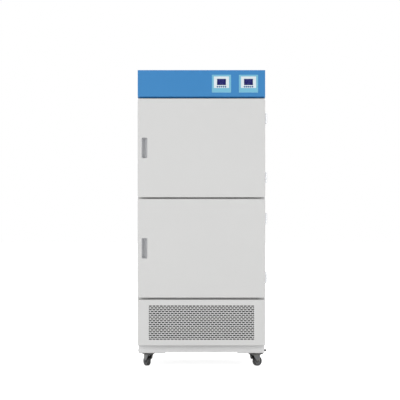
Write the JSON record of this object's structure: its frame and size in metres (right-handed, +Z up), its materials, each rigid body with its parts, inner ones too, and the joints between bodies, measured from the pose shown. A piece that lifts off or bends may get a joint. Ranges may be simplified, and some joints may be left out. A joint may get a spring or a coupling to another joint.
{
  "type": "multi-chamber incubator",
  "caption": "Tall steel incubator on casters, with stacked insulated chambers behind hinged doors, a control panel above them and a slotted machine panel below.",
  "frame": {"origin": "on the floor under the middle of the whole object, where its casters stand", "axes": "+Z up, -Y out of the doors' faces, +X to the hinge side"},
  "size_m": [0.6712, 0.6266, 1.54],
  "materials": {
    "cabinet_paint": "off-white textured powder coat",
    "fascia_paint": "blue satin powder coat",
    "base_paint": "grey-white powder coat",
    "stainless": "brushed stainless steel",
    "wire_steel": "electropolished wire",
    "zinc": "zinc plated steel",
    "hinge_steel": "satin nickel plated steel",
    "foam": "rigid polyurethane foam",
    "liner_plastic": "white vacuum-formed sheet",
    "gasket_rubber": "dark magnetic gasket",
    "cup_plastic": "light grey moulded plastic",
    "glass": "clear toughened glass",
    "controller_plastic": "light cyan panel film over plastic",
    "display_glass": "dark blue liquid crystal display",
    "key_plastic": "dark blue round keys",
    "compressor_paint": "black enamelled steel can",
    "condenser_paint": "black painted fins and tubes",
    "fin_aluminium": "aluminium fins on copper tube",
    "motor_metal": "cast motor shells",
    "fan_plastic": "black moulded fan",
    "inlet_plastic": "black moulded inlet",
    "tread_rubber": "dark rubber wheel",
    "pedal_plastic": "dark moulded pedal"
  },
  "bodies": {
    "cabinet": {"cabinet_shell": "cabinet_paint", "back_panel": "cabinet_paint", "insulation": "foam", "upper_liner": "stainless", "lower_liner": "stainless", "base_frame": "base_paint", "grille_panel": "cabinet_paint", "control_fascia": "fascia_paint", "controllers": "controller_plastic", "displays": "display_glass", "compressor": "compressor_paint", "condenser": "condenser_paint", "air_ducts": "stainless", "fan_motors": "motor_metal", "evaporators": "fin_aluminium", "shelf_uprights": "stainless", "hinge_brackets": "hinge_steel", "caster_plates": "zinc", "mains_inlet": "inlet_plastic"},
    "upper_door": {"upper_door_shell": "cabinet_paint", "upper_door_liner": "liner_plastic", "upper_door_gasket": "gasket_rubber", "upper_handle_cup": "cup_plastic", "upper_door_hinges": "hinge_steel"},
    "upper_inner_door": {"upper_glass_door": "glass", "upper_glass_fittings": "stainless"},
    "upper_chamber_low_shelf": {"upper_chamber_low_shelf": "wire_steel"},
    "upper_chamber_high_shelf": {"upper_chamber_high_shelf": "wire_steel"},
    "upper_fan": {"upper_fan": "fan_plastic"},
    "lower_door": {"lower_door_shell": "cabinet_paint", "lower_door_liner": "liner_plastic", "lower_door_gasket": "gasket_rubber", "lower_handle_cup": "cup_plastic", "lower_door_hinges": "hinge_steel"},
    "lower_inner_door": {"lower_glass_door": "glass", "lower_glass_fittings": "stainless"},
    "lower_chamber_low_shelf": {"lower_chamber_low_shelf": "wire_steel"},
    "lower_chamber_high_shelf": {"lower_chamber_high_shelf": "wire_steel"},
    "lower_fan": {"lower_fan": "fan_plastic"},
    "condenser_fan": {"condenser_fan": "fan_plastic"},
    "front_left_fork": {"front_left_fork": "zinc"},
    "front_left_wheel": {"front_left_wheel": "tread_rubber"},
    "front_left_brake": {"front_left_brake": "pedal_plastic"},
    "front_right_fork": {"front_right_fork": "zinc"},
    "front_right_wheel": {"front_right_wheel": "tread_rubber"},
    "front_right_brake": {"front_right_brake": "pedal_plastic"},
    "rear_left_fork": {"rear_left_fork": "zinc"},
    "rear_left_wheel": {"rear_left_wheel": "tread_rubber"},
    "rear_right_fork": {"rear_right_fork": "zinc"},
    "rear_right_wheel": {"rear_right_wheel": "tread_rubber"},
    "left_key_1": {"left_key_1": "key_plastic"},
    "left_key_2": {"left_key_2": "key_plastic"},
    "left_key_3": {"left_key_3": "key_plastic"},
    "left_key_4": {"left_key_4": "key_plastic"},
    "left_key_5": {"left_key_5": "key_plastic"},
    "right_key_1": {"right_key_1": "key_plastic"},
    "right_key_2": {"right_key_2": "key_plastic"},
    "right_key_3": {"right_key_3": "key_plastic"},
    "right_key_4": {"right_key_4": "key_plastic"},
    "right_key_5": {"right_key_5": "key_plastic"}
  },
  "joints": [
    {"name": "upper_door_hinge", "type": "hinge", "parent": "cabinet", "child": "upper_door", "pos_m": [0.33025, -0.2607, 1.13725], "axis": [0, 0, 1], "range_deg": [0, 120]},
    {"name": "upper_inner_door_hinge", "type": "hinge", "parent": "cabinet", "child": "upper_inner_door", "pos_m": [0.28245, -0.2542, 1.13725], "axis": [0, 0, 1], "range_deg": [0, 120]},
    {"name": "upper_chamber_low_shelf_slide", "type": "slide", "parent": "cabinet", "child": "upper_chamber_low_shelf", "axis": [0, -1, 0], "range_m": [0, 0.12]},
    {"name": "upper_chamber_high_shelf_slide", "type": "slide", "parent": "cabinet", "child": "upper_chamber_high_shelf", "axis": [0, -1, 0], "range_m": [0, 0.12]},
    {"name": "upper_fan_spin", "type": "hinge", "parent": "cabinet", "child": "upper_fan", "pos_m": [-0.00555, 0.1963, 1.22725], "axis": [0, 1, 0], "continuous": true},
    {"name": "lower_door_hinge", "type": "hinge", "parent": "cabinet", "child": "lower_door", "pos_m": [0.33025, -0.2607, 0.61725], "axis": [0, 0, 1], "range_deg": [0, 120]},
    {"name": "lower_inner_door_hinge", "type": "hinge", "parent": "cabinet", "child": "lower_inner_door", "pos_m": [0.28245, -0.2542, 0.61725], "axis": [0, 0, 1], "range_deg": [0, 120]},
    {"name": "lower_chamber_low_shelf_slide", "type": "slide", "parent": "cabinet", "child": "lower_chamber_low_shelf", "axis": [0, -1, 0], "range_m": [0, 0.12]},
    {"name": "lower_chamber_high_shelf_slide", "type": "slide", "parent": "cabinet", "child": "lower_chamber_high_shelf", "axis": [0, -1, 0], "range_m": [0, 0.12]},
    {"name": "lower_fan_spin", "type": "hinge", "parent": "cabinet", "child": "lower_fan", "pos_m": [-0.00555, 0.1963, 0.70725], "axis": [0, 1, 0], "continuous": true},
    {"name": "condenser_fan_spin", "type": "hinge", "parent": "cabinet", "child": "condenser_fan", "pos_m": [0.11445, -0.1277, 0.221], "axis": [0, 1, 0], "continuous": true},
    {"name": "front_left_swivel", "type": "hinge", "parent": "cabinet", "child": "front_left_fork", "pos_m": [-0.27955, -0.2007, 0.064], "axis": [0, 0, 1], "continuous": true},
    {"name": "front_left_wheel_spin", "type": "hinge", "parent": "front_left_fork", "child": "front_left_wheel", "pos_m": [-0.29055, -0.18165, 0.025], "axis": [-0.866, -0.5, 0], "continuous": true},
    {"name": "front_left_brake_pedal", "type": "hinge", "parent": "front_left_fork", "child": "front_left_brake", "pos_m": [-0.29255, -0.17818, 0.057], "axis": [-0.866, -0.5, 0], "range_deg": [0, 18]},
    {"name": "front_right_swivel", "type": "hinge", "parent": "cabinet", "child": "front_right_fork", "pos_m": [0.26845, -0.2007, 0.064], "axis": [0, 0, 1], "continuous": true},
    {"name": "front_right_wheel_spin", "type": "hinge", "parent": "front_right_fork", "child": "front_right_wheel", "pos_m": [0.28602, -0.18746, 0.025], "axis": [-0.6018, 0.7986, 0], "continuous": true},
    {"name": "front_right_brake_pedal", "type": "hinge", "parent": "front_right_fork", "child": "front_right_brake", "pos_m": [0.28921, -0.18505, 0.057], "axis": [-0.6018, 0.7986, 0], "range_deg": [0, 18]},
    {"name": "rear_left_swivel", "type": "hinge", "parent": "cabinet", "child": "rear_left_fork", "pos_m": [-0.27955, 0.2393, 0.064], "axis": [0, 0, 1], "continuous": true},
    {"name": "rear_left_wheel_spin", "type": "hinge", "parent": "rear_left_fork", "child": "rear_left_wheel", "pos_m": [-0.28635, 0.26022, 0.025], "axis": [-0.9511, -0.309, 0], "continuous": true},
    {"name": "rear_right_swivel", "type": "hinge", "parent": "cabinet", "child": "rear_right_fork", "pos_m": [0.26845, 0.2393, 0.064], "axis": [0, 0, 1], "continuous": true},
    {"name": "rear_right_wheel_spin", "type": "hinge", "parent": "rear_right_fork", "child": "rear_right_wheel", "pos_m": [0.27525, 0.26022, 0.025], "axis": [-0.9511, 0.309, 0], "continuous": true},
    {"name": "left_key_1_press", "type": "slide", "parent": "cabinet", "child": "left_key_1", "axis": [0, 1, 0], "range_m": [0, 0.0008], "stiffness_N_per_m": 500},
    {"name": "left_key_2_press", "type": "slide", "parent": "cabinet", "child": "left_key_2", "axis": [0, 1, 0], "range_m": [0, 0.0008], "stiffness_N_per_m": 500},
    {"name": "left_key_3_press", "type": "slide", "parent": "cabinet", "child": "left_key_3", "axis": [0, 1, 0], "range_m": [0, 0.0008], "stiffness_N_per_m": 500},
    {"name": "left_key_4_press", "type": "slide", "parent": "cabinet", "child": "left_key_4", "axis": [0, 1, 0], "range_m": [0, 0.0008], "stiffness_N_per_m": 500},
    {"name": "left_key_5_press", "type": "slide", "parent": "cabinet", "child": "left_key_5", "axis": [0, 1, 0], "range_m": [0, 0.0008], "stiffness_N_per_m": 500},
    {"name": "right_key_1_press", "type": "slide", "parent": "cabinet", "child": "right_key_1", "axis": [0, 1, 0], "range_m": [0, 0.0008], "stiffness_N_per_m": 500},
    {"name": "right_key_2_press", "type": "slide", "parent": "cabinet", "child": "right_key_2", "axis": [0, 1, 0], "range_m": [0, 0.0008], "stiffness_N_per_m": 500},
    {"name": "right_key_3_press", "type": "slide", "parent": "cabinet", "child": "right_key_3", "axis": [0, 1, 0], "range_m": [0, 0.0008], "stiffness_N_per_m": 500},
    {"name": "right_key_4_press", "type": "slide", "parent": "cabinet", "child": "right_key_4", "axis": [0, 1, 0], "range_m": [0, 0.0008], "stiffness_N_per_m": 500},
    {"name": "right_key_5_press", "type": "slide", "parent": "cabinet", "child": "right_key_5", "axis": [0, 1, 0], "range_m": [0, 0.0008], "stiffness_N_per_m": 500}
  ],
  "couplings": [
    {"joint": "upper_inner_door_hinge", "follows": "upper_door_hinge", "ratio": 1},
    {"joint": "upper_chamber_low_shelf_slide", "follows": "upper_door_hinge", "m_per_rad": 0.055},
    {"joint": "upper_chamber_high_shelf_slide", "follows": "upper_door_hinge", "m_per_rad": 0.055},
    {"joint": "lower_inner_door_hinge", "follows": "lower_door_hinge", "ratio": 1},
    {"joint": "lower_chamber_low_shelf_slide", "follows": "lower_door_hinge", "m_per_rad": 0.055},
    {"joint": "lower_chamber_high_shelf_slide", "follows": "lower_door_hinge", "m_per_rad": 0.055}
  ]
}
